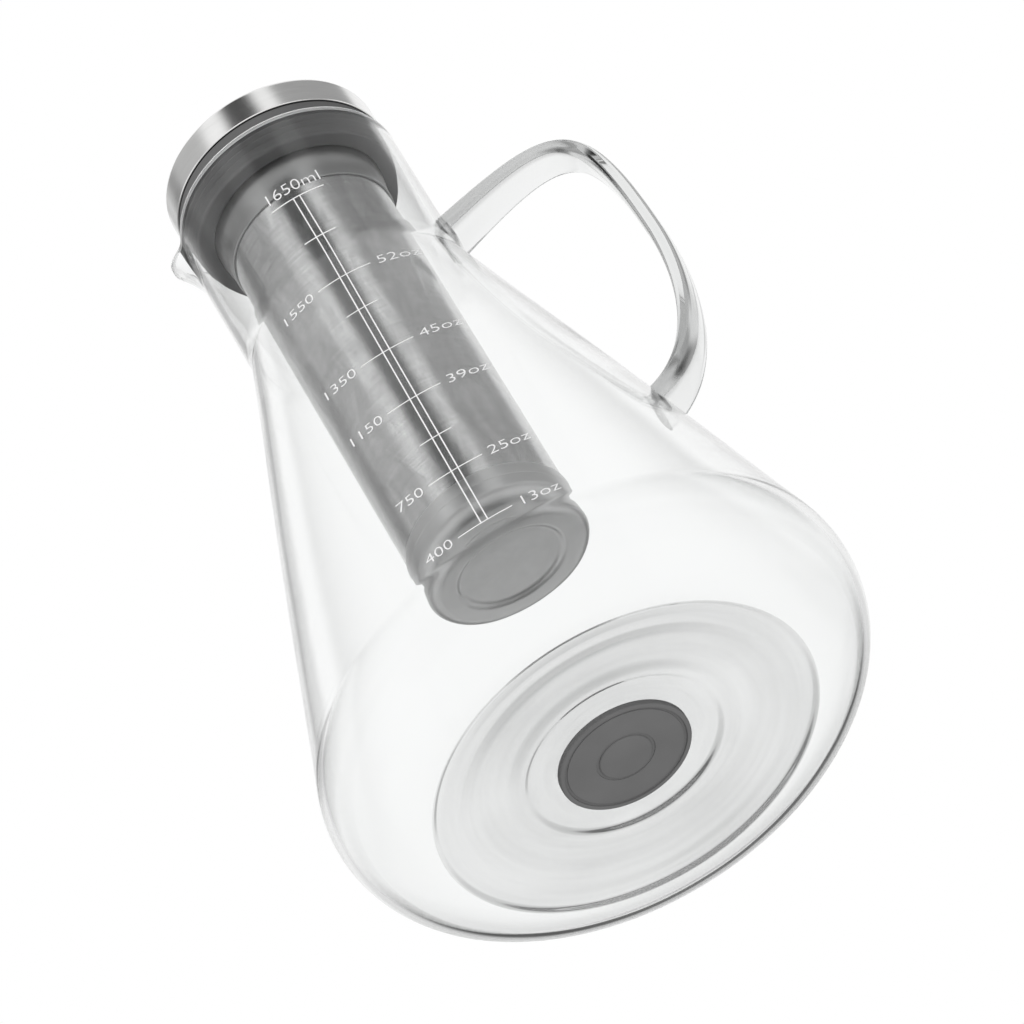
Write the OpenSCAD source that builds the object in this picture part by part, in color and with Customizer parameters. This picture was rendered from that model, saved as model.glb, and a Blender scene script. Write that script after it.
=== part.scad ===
// Cold brew pitcher: a conical glass jug with a pouring lip, a glass strap handle and a pad
// under its base, a steel mesh filter that hangs in the neck from a soft collar, and a steel lid.
// Millimetres, +Z up. The origin is the centre of the foot ring, on the table.
// The handle is on +X, the pouring lip on -X.

/* [Glass body] */
// Height of the glass, from the table to the rim
body_h = 224; // [215:1:245]
// Radius at the widest place, just above the base
base_r = 75; // [68:1:82]
// Radius of the rounded corner between the base and the side
base_corner_r = 20; // [15:1:25]
// Radius of the neck, outside
neck_r = 32.2; // [30.2:0.1:36]
// Height at which the neck becomes straight
shoulder_z = 176; // [166:1:178]
// Radius of the hollow curve between the side and the neck
shoulder_blend_r = 23; // [16:1:34]
// How far the side swells out past a straight cone
side_bow = 0.4; // [0:0.1:2]
// Thickness of the glass wall
glass_wall = 2; // [1.8:0.1:3]
// Thickness of the glass floor at its middle
floor_t = 2.2; // [2:0.1:4]
// Width of the flat foot ring that stands on the table
foot_w = 1.6; // [1:0.1:3]
// Height of the soft step inside the foot ring
foot_step = 0.8; // [0.4:0.1:1.2]
// Width of that step
foot_step_w = 2; // [1.5:0.1:3]
// Width of the level band inside that step
foot_band_w = 2.6; // [2:0.1:4]
// Height of the hollow under the base
push_up = 2.4; // [2:0.1:4]
// Radius of the mould ring under the base
mould_ring_r = 28; // [24:0.1:32]
// How far the mould ring stands below the seat of the pad
mould_ring_d = 0.8; // [0.4:0.1:1]
// Width of the mould ring's inner slope
mould_ring_in_w = 2.4; // [1.5:0.1:4]
// Width of the mould ring's outer slope
mould_ring_out_w = 5; // [3:0.1:7]
// Rounding of the fire-polished rim
rim_round = 0.8; // [0.3:0.1:0.8]

/* [Pouring lip] */
// How far the lip stands out from the neck at the rim
lip_reach = 5.5; // [4:0.5:9]
// Depth below the rim at which the lip begins
lip_drop = 14; // [10:0.5:18]

/* [Handle] */
// Distance from the axis to the outside of the handle
handle_reach = 80.5; // [74:0.5:90]
// Height of the handle's crown
handle_crown_z = 187.3; // [185:0.1:198]
// Height of the middle of the upper weld
handle_upper_z = 179.5; // [178:0.5:184]
// Height of the middle of the lower weld
handle_lower_z = 90.6; // [85:0.1:105]
// Height at which the back of the handle is nearly upright
handle_back_z = 142.2; // [134:0.1:150]
// Width of the glass strap where it is narrowest, at its back
handle_w = 11; // [9:0.5:14]
// Thickness of the glass strap where it is narrowest
handle_t = 4.6; // [4:0.1:6.5]
// Share by which the strap grows from there to its welds
weld_flare = 0.48; // [0:0.02:0.6]

/* [Base pad] */
// Radius of the pad
pad_r = 18.2; // [14:0.1:21]
// Thickness of the pad
pad_t = 1.8; // [1.4:0.1:2]
// Width of the raised edge of the pad
pad_edge_w = 1.3; // [0.8:0.1:2.5]
// Width of the two grooves, one inside the raised edge and one round the boss
pad_groove_w = 0.8; // [0.4:0.1:1.5]
// Depth of the grooves
pad_groove_d = 0.6; // [0.3:0.1:0.9]
// Radius of the round boss in the middle of the pad
pad_boss_r = 7.3; // [5:0.1:9]

/* [Neck collar] */
// Thickness of the collar's flange, which shows as the dark band
collar_flange_t = 3.8; // [3:0.1:6]
// How far the edge of the flange lies inside the side of the neck
collar_flange_inset = 1.6; // [0.2:0.1:1.6]
// Depth of the collar in the neck, below the rim
collar_drop = 9; // [7:0.5:14]
// Height of each soft lip round the collar
collar_lip_h = 1.8; // [1.2:0.1:2.2]
// How far each soft lip stands out
collar_lip_d = 0.9; // [0.4:0.1:1.2]
// Number of soft lips
collar_lips = 3; // [1:1:3]

/* [Filter] */
// Radius of the mesh tube, outside
filter_r = 23.2; // [21:0.1:23.8]
// Thickness of the mesh
mesh_t = 0.5; // [0.3:0.1:0.8]
// Height of the filter's bottom above the table
filter_bottom_z = 75; // [60:1:105]
// Radius of the sleeve at the top of the filter
sleeve_r = 24.6; // [24.4:0.1:25.2]
// Thickness of the sleeve's sheet
sleeve_t = 0.6; // [0.4:0.1:0.8]
// How far the sleeve hangs below the collar
sleeve_drop = 10.5; // [9:0.5:20]
// Height of the crimp where the sleeve grips the mesh
crimp_h = 4; // [3:0.5:6]
// Width of the flange at the top of the sleeve
sleeve_flange_w = 2.6; // [1.5:0.1:3]
// Width of the lap seam of the mesh
seam_w = 5; // [3:0.5:8]
// Thickness of the lap seam
seam_t = 0.4; // [0.3:0.1:0.6]
// Height of the hoop round the bottom of the mesh
hoop_h = 4; // [3:0.5:8]
// Thickness of the hoop
hoop_t = 0.6; // [0.4:0.1:0.8]
// Height of the cup below the mesh
cup_h = 7; // [6:0.5:12]
// Rounding of the bottom edge of the cup
cup_round = 4; // [3:0.5:5]
// Thickness of the cup's sheet
cup_t = 0.6; // [0.4:0.1:0.9]
// Depth of the pressed hollow in the bottom of the cup
cup_press_d = 1.2; // [0.5:0.1:2]

/* [Lid] */
// How far the side of the cap lies inside the side of the neck
cap_inset = 1.2; // [-2:0.1:1.2]
// Height of the steel cap
cap_h = 9.4; // [7:0.1:14]
// Thickness of the cap's sheet
cap_t = 0.7; // [0.5:0.1:1]
// Rounding of the top edge of the cap
cap_round = 1.5; // [1.2:0.1:3]
// How far the cap's edge stands below the lid core
cap_skirt = 0.4; // [0:0.1:0.8]
// Depth of the lid core's plug, below its seat
plug_drop = 13; // [11:0.5:16]
// Thickness of the plug's wall
plug_wall = 2.6; // [2.2:0.1:4]
// Height of the lid seal
seal_h = 5; // [4:0.5:7]
// Depth of the groove that holds the lid seal
seal_groove_d = 1.2; // [0.8:0.1:1.6]

/* [Fits] */
// Gap between the collar's lips and the neck, and between the lid seal and the sleeve
slide_gap = 0.3; // [0.2:0.05:0.4]
// Gap under a piece that rests on the piece below it
seat_gap = 0.2; // [0.1:0.05:0.3]
// Gap between sheet metal and the moulding that it is bonded to
bond_gap = 0.1; // [0.05:0.05:0.2]

/* [Hidden] */
$fn = 96;

// Spare length by which a cutting shape runs past what it cuts
past = 1;
// Steps in a rounded corner, in a small slope, in a long curve and in half the handle
corner_steps = 10;
slope_steps = 8;
curve_steps = 16;
strap_steps = 18;
// Points round the section of the strap
strap_points = 24;

// Glass outline: a line that touches the corner circle and the shoulder circle makes the side
corner_c = [base_r - base_corner_r, base_corner_r];
shoulder_c = [neck_r + shoulder_blend_r, shoulder_z];
between = shoulder_c - corner_c;
side_tilt = atan2(between.y, between.x) - acos((base_corner_r + shoulder_blend_r) / norm(between));
side_out = [cos(side_tilt), sin(side_tilt)];
neck_bore_r = neck_r - glass_wall;
foot_in_r = corner_c.x - foot_w;
band_out_r = foot_in_r - foot_step_w;
band_in_r = band_out_r - foot_band_w;
ring_out_r = mould_ring_r + mould_ring_out_w;
ring_in_r = mould_ring_r - mould_ring_in_w;
// Inside the band the hollow rises in two soft slopes, shares of the way in to the mould ring
hollow_run = band_in_r - mould_ring_r;
outer_slope_w = 0.2 * hollow_run;
inner_slope_r = mould_ring_r + 0.66 * hollow_run;
inner_slope_w = 0.4 * hollow_run;
outer_slope_rise = 0.45 * (push_up - foot_step);
inner_slope_rise = 0.55 * (push_up - foot_step);
floor_z = push_up + floor_t;
// Radius inside which the glass floor is level
floor_flat_r = mould_ring_r + 0.7 * mould_ring_out_w;

// Pouring lip: an upright cone whose axis lies just inside the bore of the neck
lip_inset = 0.6;
lip_axis_r = neck_bore_r - lip_inset;
lip_root_r = lip_inset + glass_wall / 2;
lip_r = neck_r + lip_reach - lip_axis_r;
lip_slope = (lip_r - lip_root_r) / lip_drop;
// Wall of the lip measured level, so that it is one wall thick across its slope
lip_wall = glass_wall * sqrt(1 + lip_slope * lip_slope);
lip_tip_r = 0.2;
lip_inner_rise = (lip_wall + lip_tip_r - lip_root_r) / lip_slope;

// Heights of the stack on the rim
flange_z = body_h + seat_gap;
seat_z = flange_z + collar_flange_t;
collar_flange_r = neck_r - collar_flange_inset;
lid_z = seat_z + seat_gap;
cap_r = neck_r - cap_inset;
cap_top_z = lid_z + cap_h;
collar_bottom_z = body_h - collar_drop;
collar_lip_r = neck_bore_r - slide_gap;
collar_plug_r = collar_lip_r - collar_lip_d;
sleeve_bottom_z = collar_bottom_z - sleeve_drop;
sleeve_bore_r = sleeve_r - sleeve_t;
sleeve_flange_r = sleeve_r + sleeve_flange_w;
mesh_bottom_z = filter_bottom_z + cup_h;
mesh_top_z = sleeve_bottom_z + crimp_h;
mesh_bore_r = filter_r - mesh_t;
hoop_r = filter_r + hoop_t;
seal_r = sleeve_bore_r - slide_gap;
plug_r = seal_r - seal_groove_d / 2;
plug_bottom_z = lid_z - plug_drop;
seal_z = plug_bottom_z + (plug_drop - seal_h) / 3;

// Points along an arc in the radius and height plane
function arc(c, r, from, to, steps = corner_steps) =
    [for (i = [0:steps]) let (a = from + (to - from) * i / steps) c + r * [cos(a), sin(a)]];

// The side of the glass, from the foot up to the neck, set in by a wall
function side(inset) =
    let (
        start = corner_c + (base_corner_r - inset) * side_out,
        end = shoulder_c - (shoulder_blend_r + inset) * side_out
    )
    concat(
        arc(corner_c, base_corner_r - inset, -90, side_tilt),
        [for (i = [1:curve_steps - 1])
            let (u = i / curve_steps)
            start + (end - start) * u + side_out * side_bow * (1 - cos(360 * u)) / 2],
        arc(shoulder_c, shoulder_blend_r + inset, 180 + side_tilt, 180)
    );

// Radius of the straight side at a height, for what is welded to it
function side_r(z) =
    let (start = corner_c + base_corner_r * side_out)
    max(neck_r, start.x - (z - start.y) * tan(side_tilt));

// A soft step from 0 to 1
function soft_step(v) = let (u = min(1, max(0, v))) u * u * (3 - 2 * u);

// Height of the hollow under the base at a radius inside the foot ring
function hollow_z(r) =
    foot_step * soft_step((foot_in_r - r) / foot_step_w)
    + outer_slope_rise * soft_step((band_in_r - r) / outer_slope_w)
    + inner_slope_rise * soft_step((inner_slope_r - r) / inner_slope_w)
    - mould_ring_d * min(
        soft_step((ring_out_r - r) / mould_ring_out_w),
        soft_step((r - ring_in_r) / mould_ring_in_w)
    );

// Even steps from one value up to but not including another
function spread(from, to, steps) = [for (i = [0:steps - 1]) from + (to - from) * i / steps];

// Under the base, from the side inwards: the foot ring, the hollow, the mould ring and a level seat
function underside() =
    let (radii = concat(
        spread(foot_in_r, band_out_r, slope_steps),
        [band_out_r],
        spread(band_in_r, ring_out_r, curve_steps),
        spread(ring_out_r, mould_ring_r, slope_steps),
        spread(mould_ring_r, ring_in_r, slope_steps),
        [ring_in_r]
    ))
    concat([for (r = radii) [r, hollow_z(r)]], [[0, push_up]]);

// Glass floor inside, from the axis out to the corner
function floor_inside() =
    concat(
        [[0, floor_z]],
        [for (r = spread(floor_flat_r, corner_c.x, curve_steps))
            let (u = (r - floor_flat_r) / (corner_c.x - floor_flat_r))
            [r, floor_z - (floor_z - glass_wall) * soft_step(u)]]
    );

function reversed(list) = [for (i = [len(list) - 1:-1:0]) list[i]];

// Point and direction on a cubic curve through four control points
function curve_at(p, u) =
    pow(1 - u, 3) * p[0] + 3 * pow(1 - u, 2) * u * p[1]
    + 3 * (1 - u) * u * u * p[2] + pow(u, 3) * p[3];
function curve_along(p, u) =
    let (d = pow(1 - u, 2) * (p[1] - p[0]) + 2 * (1 - u) * u * (p[2] - p[1]) + u * u * (p[3] - p[2]))
    d / norm(d);

// Handle centre line in the radius and height plane: the arm with its bend, then the back
handle_x = handle_reach - handle_t / 2;
handle_crown = handle_crown_z - handle_t / 2;
// The strap runs on inside the glass, where the body cuts it off to its own shape
weld_depth = 0.75 * handle_t;
upper_weld = [side_r(handle_upper_z) - weld_depth, handle_upper_z];
lower_weld = [side_r(handle_lower_z) - weld_depth, handle_lower_z];
handle_back = [handle_x, handle_back_z];
// Where the control points of the bends lie, from the strap's own corners and along its arms
crown_pull = [-0.7, 5.5];
arm_share = 0.82;
arm_rise = 6.3;
back_share = 0.91;
heel_share = 0.73;
heel_rise = 3.7;
crown_corner = [handle_x, handle_crown] + crown_pull;
arm_curve = [
    upper_weld,
    [upper_weld.x + arm_share * (handle_x - upper_weld.x), handle_crown + arm_rise],
    crown_corner,
    handle_back
];
// The lower half leaves the back in line with the upper half, in step with the height that is left
lower_share = (handle_back_z - handle_lower_z) / (handle_crown_z - handle_lower_z);
back_curve = [
    handle_back,
    handle_back + (handle_back - crown_corner) * lower_share * back_share,
    [lower_weld.x + heel_share * (handle_x - lower_weld.x), handle_lower_z + heel_rise],
    lower_weld
];

// Rings along the strap: place, direction and how much the strap has grown there
function flare(u) = 1 + weld_flare * pow(1 - u, 2);
strap_rings = concat(
    [for (i = [0:strap_steps])
        let (u = i / strap_steps)
        [curve_at(arm_curve, u), curve_along(arm_curve, u), flare(u)]],
    [for (i = [1:strap_steps])
        let (u = i / strap_steps)
        [curve_at(back_curve, u), curve_along(back_curve, u), flare(1 - u)]]
);

// A rounded strap section: across the thickness, then across the width
section_power = 0.65;
function soft_sign(v) = sign(v) * pow(abs(v), section_power);
function strap_section() =
    [for (k = [0:strap_points - 1])
        let (a = 360 * k / strap_points)
        [soft_sign(cos(a)) * handle_t / 2, soft_sign(sin(a)) * handle_w / 2]];

module strap() {
    section = strap_section();
    last = len(strap_rings) - 1;
    points = [for (ring = strap_rings) for (s = section)
        [ring[0].x - ring[1].y * s.x * ring[2],
         s.y * ring[2],
         ring[0].y + ring[1].x * s.x * ring[2]]];
    walls = [for (i = [0:last - 1]) for (k = [0:strap_points - 1])
        let (a = i * strap_points + k, b = i * strap_points + (k + 1) % strap_points)
        each [[a, b, b + strap_points], [a, b + strap_points, a + strap_points]]];
    ends = [for (k = [1:strap_points - 2])
        let (z = last * strap_points) each [[0, k + 1, k], [z, z + k, z + k + 1]]];
    polyhedron(points = points, faces = concat(walls, ends), convexity = 4);
}

// The glass body as if it were solid
module glass_outside() {
    rotate_extrude()
        polygon(concat(
            reversed(underside()),
            side(0),
            arc([neck_r - rim_round, body_h - rim_round], rim_round, 0, 90),
            [[0, body_h]]
        ));
}

module glass_inside() {
    rotate_extrude()
        polygon(concat(
            floor_inside(),
            side(glass_wall),
            arc([neck_bore_r + rim_round, body_h - rim_round], rim_round, 180, 90),
            [[neck_bore_r + rim_round, body_h + past], [0, body_h + past]]
        ));
}

module lip_outside() {
    translate([-lip_axis_r, 0, body_h - lip_drop])
        cylinder(h = lip_drop, r1 = lip_root_r, r2 = lip_r);
}

module lip_inside() {
    translate([-lip_axis_r, 0, body_h - lip_drop + lip_inner_rise])
        cylinder(
            h = lip_drop - lip_inner_rise + past,
            r1 = lip_tip_r,
            r2 = lip_r - lip_wall + lip_slope * past
        );
}

module glass_carafe() {
    color("lightcyan", 0.4)
        difference() {
            union() {
                glass_outside();
                lip_outside();
            }
            glass_inside();
            lip_inside();
        }
}

module glass_handle() {
    color("lightcyan", 0.5)
        difference() {
            strap();
            glass_outside();
        }
}

module base_pad() {
    pad_z = push_up - pad_t;
    groove_out_r = pad_r - pad_edge_w;
    groove_in_r = groove_out_r - pad_groove_w;
    boss_groove_r = pad_boss_r + pad_groove_w;
    // The face between the grooves lies half a groove deep, and the boss comes back up to the edge
    face_z = pad_z + pad_groove_d / 2;
    color("dimgray")
        rotate_extrude()
            polygon([
                [0, push_up], [pad_r, push_up],
                [pad_r, pad_z + pad_groove_d], [pad_r - pad_groove_d, pad_z],
                [groove_out_r, pad_z], [groove_out_r, pad_z + pad_groove_d],
                [groove_in_r, pad_z + pad_groove_d], [groove_in_r, face_z],
                [boss_groove_r, face_z], [boss_groove_r, pad_z + pad_groove_d],
                [pad_boss_r, pad_z + pad_groove_d], [pad_boss_r, face_z],
                [pad_boss_r - pad_groove_d / 2, pad_z], [0, pad_z]
            ]);
}

module neck_collar() {
    lip_pitch = collar_drop / (collar_lips + 1);
    recess_r = sleeve_flange_r + bond_gap;
    color("#3c3c3c")
        rotate_extrude() {
            difference() {
                union() {
                    translate([0, flange_z])
                        square([collar_flange_r, collar_flange_t]);
                    translate([0, collar_bottom_z])
                        square([collar_plug_r, flange_z - collar_bottom_z]);
                    for (i = [0:collar_lips - 1])
                        translate([collar_plug_r, body_h - lip_pitch * (i + 1)])
                            polygon([
                                [-past, -collar_lip_h / 2], [0, -collar_lip_h / 2],
                                [collar_lip_d, collar_lip_h / 6], [collar_lip_d, collar_lip_h / 3],
                                [0, collar_lip_h / 2], [-past, collar_lip_h / 2]
                            ]);
                }
                translate([-past, collar_bottom_z - past])
                    square([sleeve_r + bond_gap + past, seat_z - collar_bottom_z + 2 * past]);
                translate([-past, seat_z - sleeve_t])
                    square([recess_r + past, sleeve_t + past]);
            }
        }
}

module filter_sleeve() {
    color("silver")
        rotate_extrude()
            polygon([
                [sleeve_bore_r, seat_z], [sleeve_flange_r, seat_z],
                [sleeve_flange_r, seat_z - sleeve_t], [sleeve_r, seat_z - sleeve_t],
                [sleeve_r, sleeve_bottom_z + 2 * crimp_h],
                [filter_r + sleeve_t, sleeve_bottom_z + crimp_h], [filter_r + sleeve_t, sleeve_bottom_z],
                [filter_r, sleeve_bottom_z], [filter_r, sleeve_bottom_z + crimp_h],
                [sleeve_bore_r, sleeve_bottom_z + 2 * crimp_h]
            ]);
}

module filter_mesh() {
    color("darkgray")
        difference() {
            translate([0, 0, mesh_bottom_z])
                cylinder(h = mesh_top_z - mesh_bottom_z, r = filter_r);
            translate([0, 0, mesh_bottom_z - past])
                cylinder(h = mesh_top_z - mesh_bottom_z + 2 * past, r = mesh_bore_r);
        }
}

// The lap seam runs up the back of the mesh, from the hoop to the sleeve
module filter_seam() {
    seam_angle = seam_w / filter_r * 180 / PI;
    color("gray")
        rotate([0, 0, 90 - seam_angle / 2])
            rotate_extrude(angle = seam_angle)
                translate([filter_r, mesh_bottom_z + hoop_h])
                    square([seam_t, sleeve_bottom_z - mesh_bottom_z - hoop_h]);
}

module filter_hoop() {
    color("silver")
        difference() {
            translate([0, 0, mesh_bottom_z])
                cylinder(h = hoop_h, r = hoop_r);
            translate([0, 0, mesh_bottom_z - past])
                cylinder(h = hoop_h + 2 * past, r = filter_r);
        }
}

// A drawn cup: its upper edge stands inside the mesh, its step carries the mesh and the hoop
module filter_cup() {
    press_r = hoop_r - 2 * cup_round;
    upstand_r = mesh_bore_r - cup_t;
    bottom_c = [hoop_r - cup_round, filter_bottom_z + cup_round];
    color("silver")
        rotate_extrude()
            polygon(concat(
                [[0, filter_bottom_z + cup_press_d],
                 [press_r - cup_press_d, filter_bottom_z + cup_press_d],
                 [press_r, filter_bottom_z]],
                arc(bottom_c, cup_round, -90, 0),
                [[hoop_r, mesh_bottom_z], [mesh_bore_r, mesh_bottom_z],
                 [mesh_bore_r, mesh_bottom_z + hoop_h], [upstand_r, mesh_bottom_z + hoop_h],
                 [upstand_r, mesh_bottom_z - cup_t], [hoop_r - cup_t, mesh_bottom_z - cup_t]],
                arc(bottom_c, cup_round - cup_t, 0, -90),
                [[press_r, filter_bottom_z + cup_t],
                 [press_r - cup_press_d, filter_bottom_z + cup_press_d + cup_t],
                 [0, filter_bottom_z + cup_press_d + cup_t]]
            ));
}

module lid_cap() {
    edge_c = [cap_r - cap_round, cap_top_z - cap_round];
    color("lightgray")
        rotate_extrude()
            polygon(concat(
                [[cap_r - cap_t, lid_z], [cap_r, lid_z]],
                arc(edge_c, cap_round, 0, 90),
                [[0, cap_top_z], [0, cap_top_z - cap_t]],
                arc(edge_c, cap_round - cap_t, 90, 0)
            ));
}

module lid_core() {
    disc_r = cap_r - cap_t - bond_gap;
    disc_top = cap_top_z - cap_t;
    land_r = min(collar_flange_r, disc_r) - cap_skirt;
    groove_r = plug_r - seal_groove_d;
    hollow_r = groove_r - plug_wall;
    color("#303030")
        rotate_extrude()
            polygon([
                [0, disc_top], [disc_r - cap_round, disc_top], [disc_r, disc_top - cap_round],
                [disc_r, lid_z + cap_skirt], [land_r, lid_z + cap_skirt],
                [land_r - cap_skirt, lid_z], [plug_r, lid_z],
                [plug_r, seal_z + seal_h], [groove_r, seal_z + seal_h],
                [groove_r, seal_z], [plug_r, seal_z],
                [plug_r, plug_bottom_z + bond_gap], [plug_r - bond_gap, plug_bottom_z],
                [hollow_r, plug_bottom_z], [hollow_r, disc_top - plug_wall], [0, disc_top - plug_wall]
            ]);
}

// A soft ring with two lips that lean on the sleeve
module lid_seal() {
    groove_r = plug_r - seal_groove_d;
    lip_h = seal_h / 4;
    color("#4a4a4a")
        rotate_extrude()
            polygon([
                [groove_r, seal_z], [plug_r, seal_z],
                [seal_r, seal_z + lip_h / 2], [seal_r, seal_z + lip_h], [plug_r, seal_z + 2 * lip_h],
                [seal_r, seal_z + 3 * lip_h], [seal_r, seal_z + 3.5 * lip_h], [plug_r, seal_z + seal_h],
                [groove_r, seal_z + seal_h]
            ]);
}

glass_carafe();
glass_handle();
base_pad();
neck_collar();
filter_sleeve();
filter_mesh();
filter_seam();
filter_hoop();
filter_cup();
lid_cap();
lid_core();
lid_seal();
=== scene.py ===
"""Dresses the cold brew pitcher: its glass, silicone, steel filter, lid and print, and sets the stage."""

import math

import bmesh
import bpy
from bpy.props import FloatProperty, FloatVectorProperty, IntProperty, PointerProperty
from bpy.types import NodeSocket, Operator, Panel, PropertyGroup, Scene
from mathutils import Matrix, Vector


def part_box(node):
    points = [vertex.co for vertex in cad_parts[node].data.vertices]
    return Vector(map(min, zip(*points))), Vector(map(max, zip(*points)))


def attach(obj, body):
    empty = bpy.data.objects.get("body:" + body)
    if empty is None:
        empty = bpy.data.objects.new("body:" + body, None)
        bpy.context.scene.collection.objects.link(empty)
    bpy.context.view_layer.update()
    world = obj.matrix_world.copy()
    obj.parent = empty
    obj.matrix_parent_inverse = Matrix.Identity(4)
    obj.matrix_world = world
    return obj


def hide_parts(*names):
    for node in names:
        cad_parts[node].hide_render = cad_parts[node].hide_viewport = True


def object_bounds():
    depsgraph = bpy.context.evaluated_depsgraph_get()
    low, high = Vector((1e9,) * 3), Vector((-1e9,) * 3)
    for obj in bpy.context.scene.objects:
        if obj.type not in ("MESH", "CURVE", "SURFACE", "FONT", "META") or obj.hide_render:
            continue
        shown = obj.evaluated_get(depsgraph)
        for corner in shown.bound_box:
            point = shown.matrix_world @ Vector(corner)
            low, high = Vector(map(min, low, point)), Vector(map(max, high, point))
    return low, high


bl_info = {
    "name": "Cold Brew Pitcher",
    "version": (1, 0, 0),
    "blender": (4, 5, 0),
    "location": "3D View > Sidebar > Pitcher",
    "description": "Builds the looks of a glass cold brew pitcher round its packed solids",
    "category": "Object",
}

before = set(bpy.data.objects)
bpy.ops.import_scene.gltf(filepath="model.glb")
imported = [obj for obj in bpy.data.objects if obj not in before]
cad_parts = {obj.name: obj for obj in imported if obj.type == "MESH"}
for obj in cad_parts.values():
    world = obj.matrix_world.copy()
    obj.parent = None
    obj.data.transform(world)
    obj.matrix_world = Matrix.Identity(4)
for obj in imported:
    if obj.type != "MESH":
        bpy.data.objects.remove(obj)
CAD_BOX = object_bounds()

MM = 0.001
# Below this radius a point of an outline lies on the axis
ON_AXIS = 1e-7


# Properties

def length(name, description, millimetres):
    """A size that a user may change, written in millimetres and kept in metres."""
    return FloatProperty(
        name=name, description=description, default=millimetres * MM, precision=5,
        min=0.0, subtype="DISTANCE", unit="LENGTH",
    )


def colour(name, description, level, tint=(1.0, 1.0, 1.0)):
    """A colour that a user may change, as a grey level with a slight tint."""
    return FloatVectorProperty(
        name=name, description=description, default=[level * part for part in tint],
        size=3, min=0.0, max=1.0, subtype="COLOR",
    )


class GlassSizes(PropertyGroup):
    """Sizes of the glass body that its box doesn't give."""

    corner_radius: length("Corner radius", "Rounding between the base and the side", 20)
    neck_radius: length("Neck radius", "Outside radius of the straight neck", 32.2)
    shoulder_height: length("Shoulder height", "Height at which the neck becomes straight", 176)
    shoulder_radius: length("Shoulder radius", "Hollow curve between the side and the neck", 23)
    side_bow: length("Side bow", "How far the side swells past a straight cone", 0.4)
    wall: length("Wall", "Thickness of the glass wall", 2)
    floor: length("Floor", "Thickness of the glass floor at its middle", 2.2)
    foot_width: length("Foot width", "Width of the flat foot ring that stands on the table", 1.6)
    foot_step: length("Foot step", "Height of the soft step inside the foot ring", 0.8)
    foot_slope: length("Foot slope", "Width of that step", 2)
    foot_band: length("Foot band", "Width of the level band inside that step", 2.6)
    push_up: length("Push-up", "Height of the hollow under the base", 2.4)
    ring_radius: length("Mould ring radius", "Radius of the ring under the base", 28)
    ring_depth: length("Mould ring depth", "How far the ring stands below the seat of the pad", 0.8)
    ring_inside: length("Mould ring inside", "Width of the ring's inner slope", 2.4)
    ring_outside: length("Mould ring outside", "Width of the ring's outer slope", 5)
    rim_round: length("Rim rounding", "Rounding of the fire-polished rim", 0.8)
    lip_reach: length("Lip reach", "How far the pouring lip stands out at the rim", 5.5)
    lip_drop: length("Lip drop", "Depth below the rim at which the lip begins", 14)
    lip_spread: FloatProperty(
        name="Lip spread", description="Half of the angle that the lip takes up on the neck",
        default=math.radians(11.5), subtype="ANGLE", unit="ROTATION",
    )


class HandleSizes(PropertyGroup):
    """Sizes of the glass strap that its box doesn't give."""

    reach: length("Reach", "Distance from the axis to the outside of the handle", 80.5)
    crown_height: length("Crown height", "Height of the crown of the handle", 187.3)
    upper_weld: length("Upper weld", "Height of the middle of the upper weld", 179.5)
    lower_weld: length("Lower weld", "Height of the middle of the lower weld", 90.6)
    back_height: length("Back height", "Height at which the back is nearly upright", 142.2)
    width: length("Width", "Width of the strap at its back", 11)
    thickness: length("Thickness", "Thickness of the strap at its back", 4.6)
    flare: FloatProperty(
        name="Weld flare", description="Share by which the strap grows from its back to its welds",
        default=0.48, min=0.0, subtype="FACTOR",
    )
    weld_depth: length("Weld depth", "How far the end of the strap lies inside the glass surface", 0.3)


class SoftSizes(PropertyGroup):
    """Sizes of the silicone pad and the neck collar."""

    pad_edge: length("Pad edge", "Width of the raised edge of the pad", 1.3)
    pad_groove: length("Pad groove", "Width of the grooves inside the edge and round the boss", 0.8)
    pad_groove_depth: length("Pad groove depth", "Depth of those grooves", 0.6)
    pad_boss: length("Pad boss", "Radius of the round boss in the middle", 7.3)
    collar_flange: length("Flange thickness", "Thickness of the collar's flange", 3.8)
    collar_lip_height: length("Lip height", "Height of each soft lip", 1.8)
    collar_lip_reach: length("Lip reach", "How far each soft lip stands out", 0.9)
    collar_lips: IntProperty(name="Lips", description="Number of soft lips", default=3, min=1)
    slide_gap: length("Running gap", "Gap between a soft lip and what it slides in", 0.3)
    bond_gap: length("Bond gap", "Gap between a sheet and the moulding that holds it", 0.1)


class FilterSizes(PropertyGroup):
    """Sizes of the steel filter that its boxes don't give."""

    sheet: length("Sheet", "Thickness of the sleeve, the hoop and the cup", 0.6)
    mesh: length("Mesh", "Thickness of the mesh", 0.5)
    sleeve_radius: length("Sleeve radius", "Outside radius of the sleeve below its flange", 24.6)
    crimp: length("Crimp", "Height of the crimp that grips the mesh", 4)
    cup_round: length("Cup rounding", "Rounding of the bottom edge of the cup", 4)
    cup_press: length("Cup hollow", "Depth of the pressed hollow in the cup's bottom", 1.2)
    wire_pitch: length("Wire pitch", "Distance from wire to wire of the mesh", 0.4)


class LidSizes(PropertyGroup):
    """Sizes of the lid that its boxes don't give."""

    sheet: length("Sheet", "Thickness of the steel cap", 0.7)
    edge_round: length("Edge rounding", "Rounding of the top edge of the cap", 1.5)
    skirt: length("Skirt", "How far the cap's edge stands below the core", 0.4)
    plug_wall: length("Plug wall", "Thickness of the plug's wall", 2.6)
    seal_groove: length("Seal groove", "Depth of the groove that holds the seal", 1.2)


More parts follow.
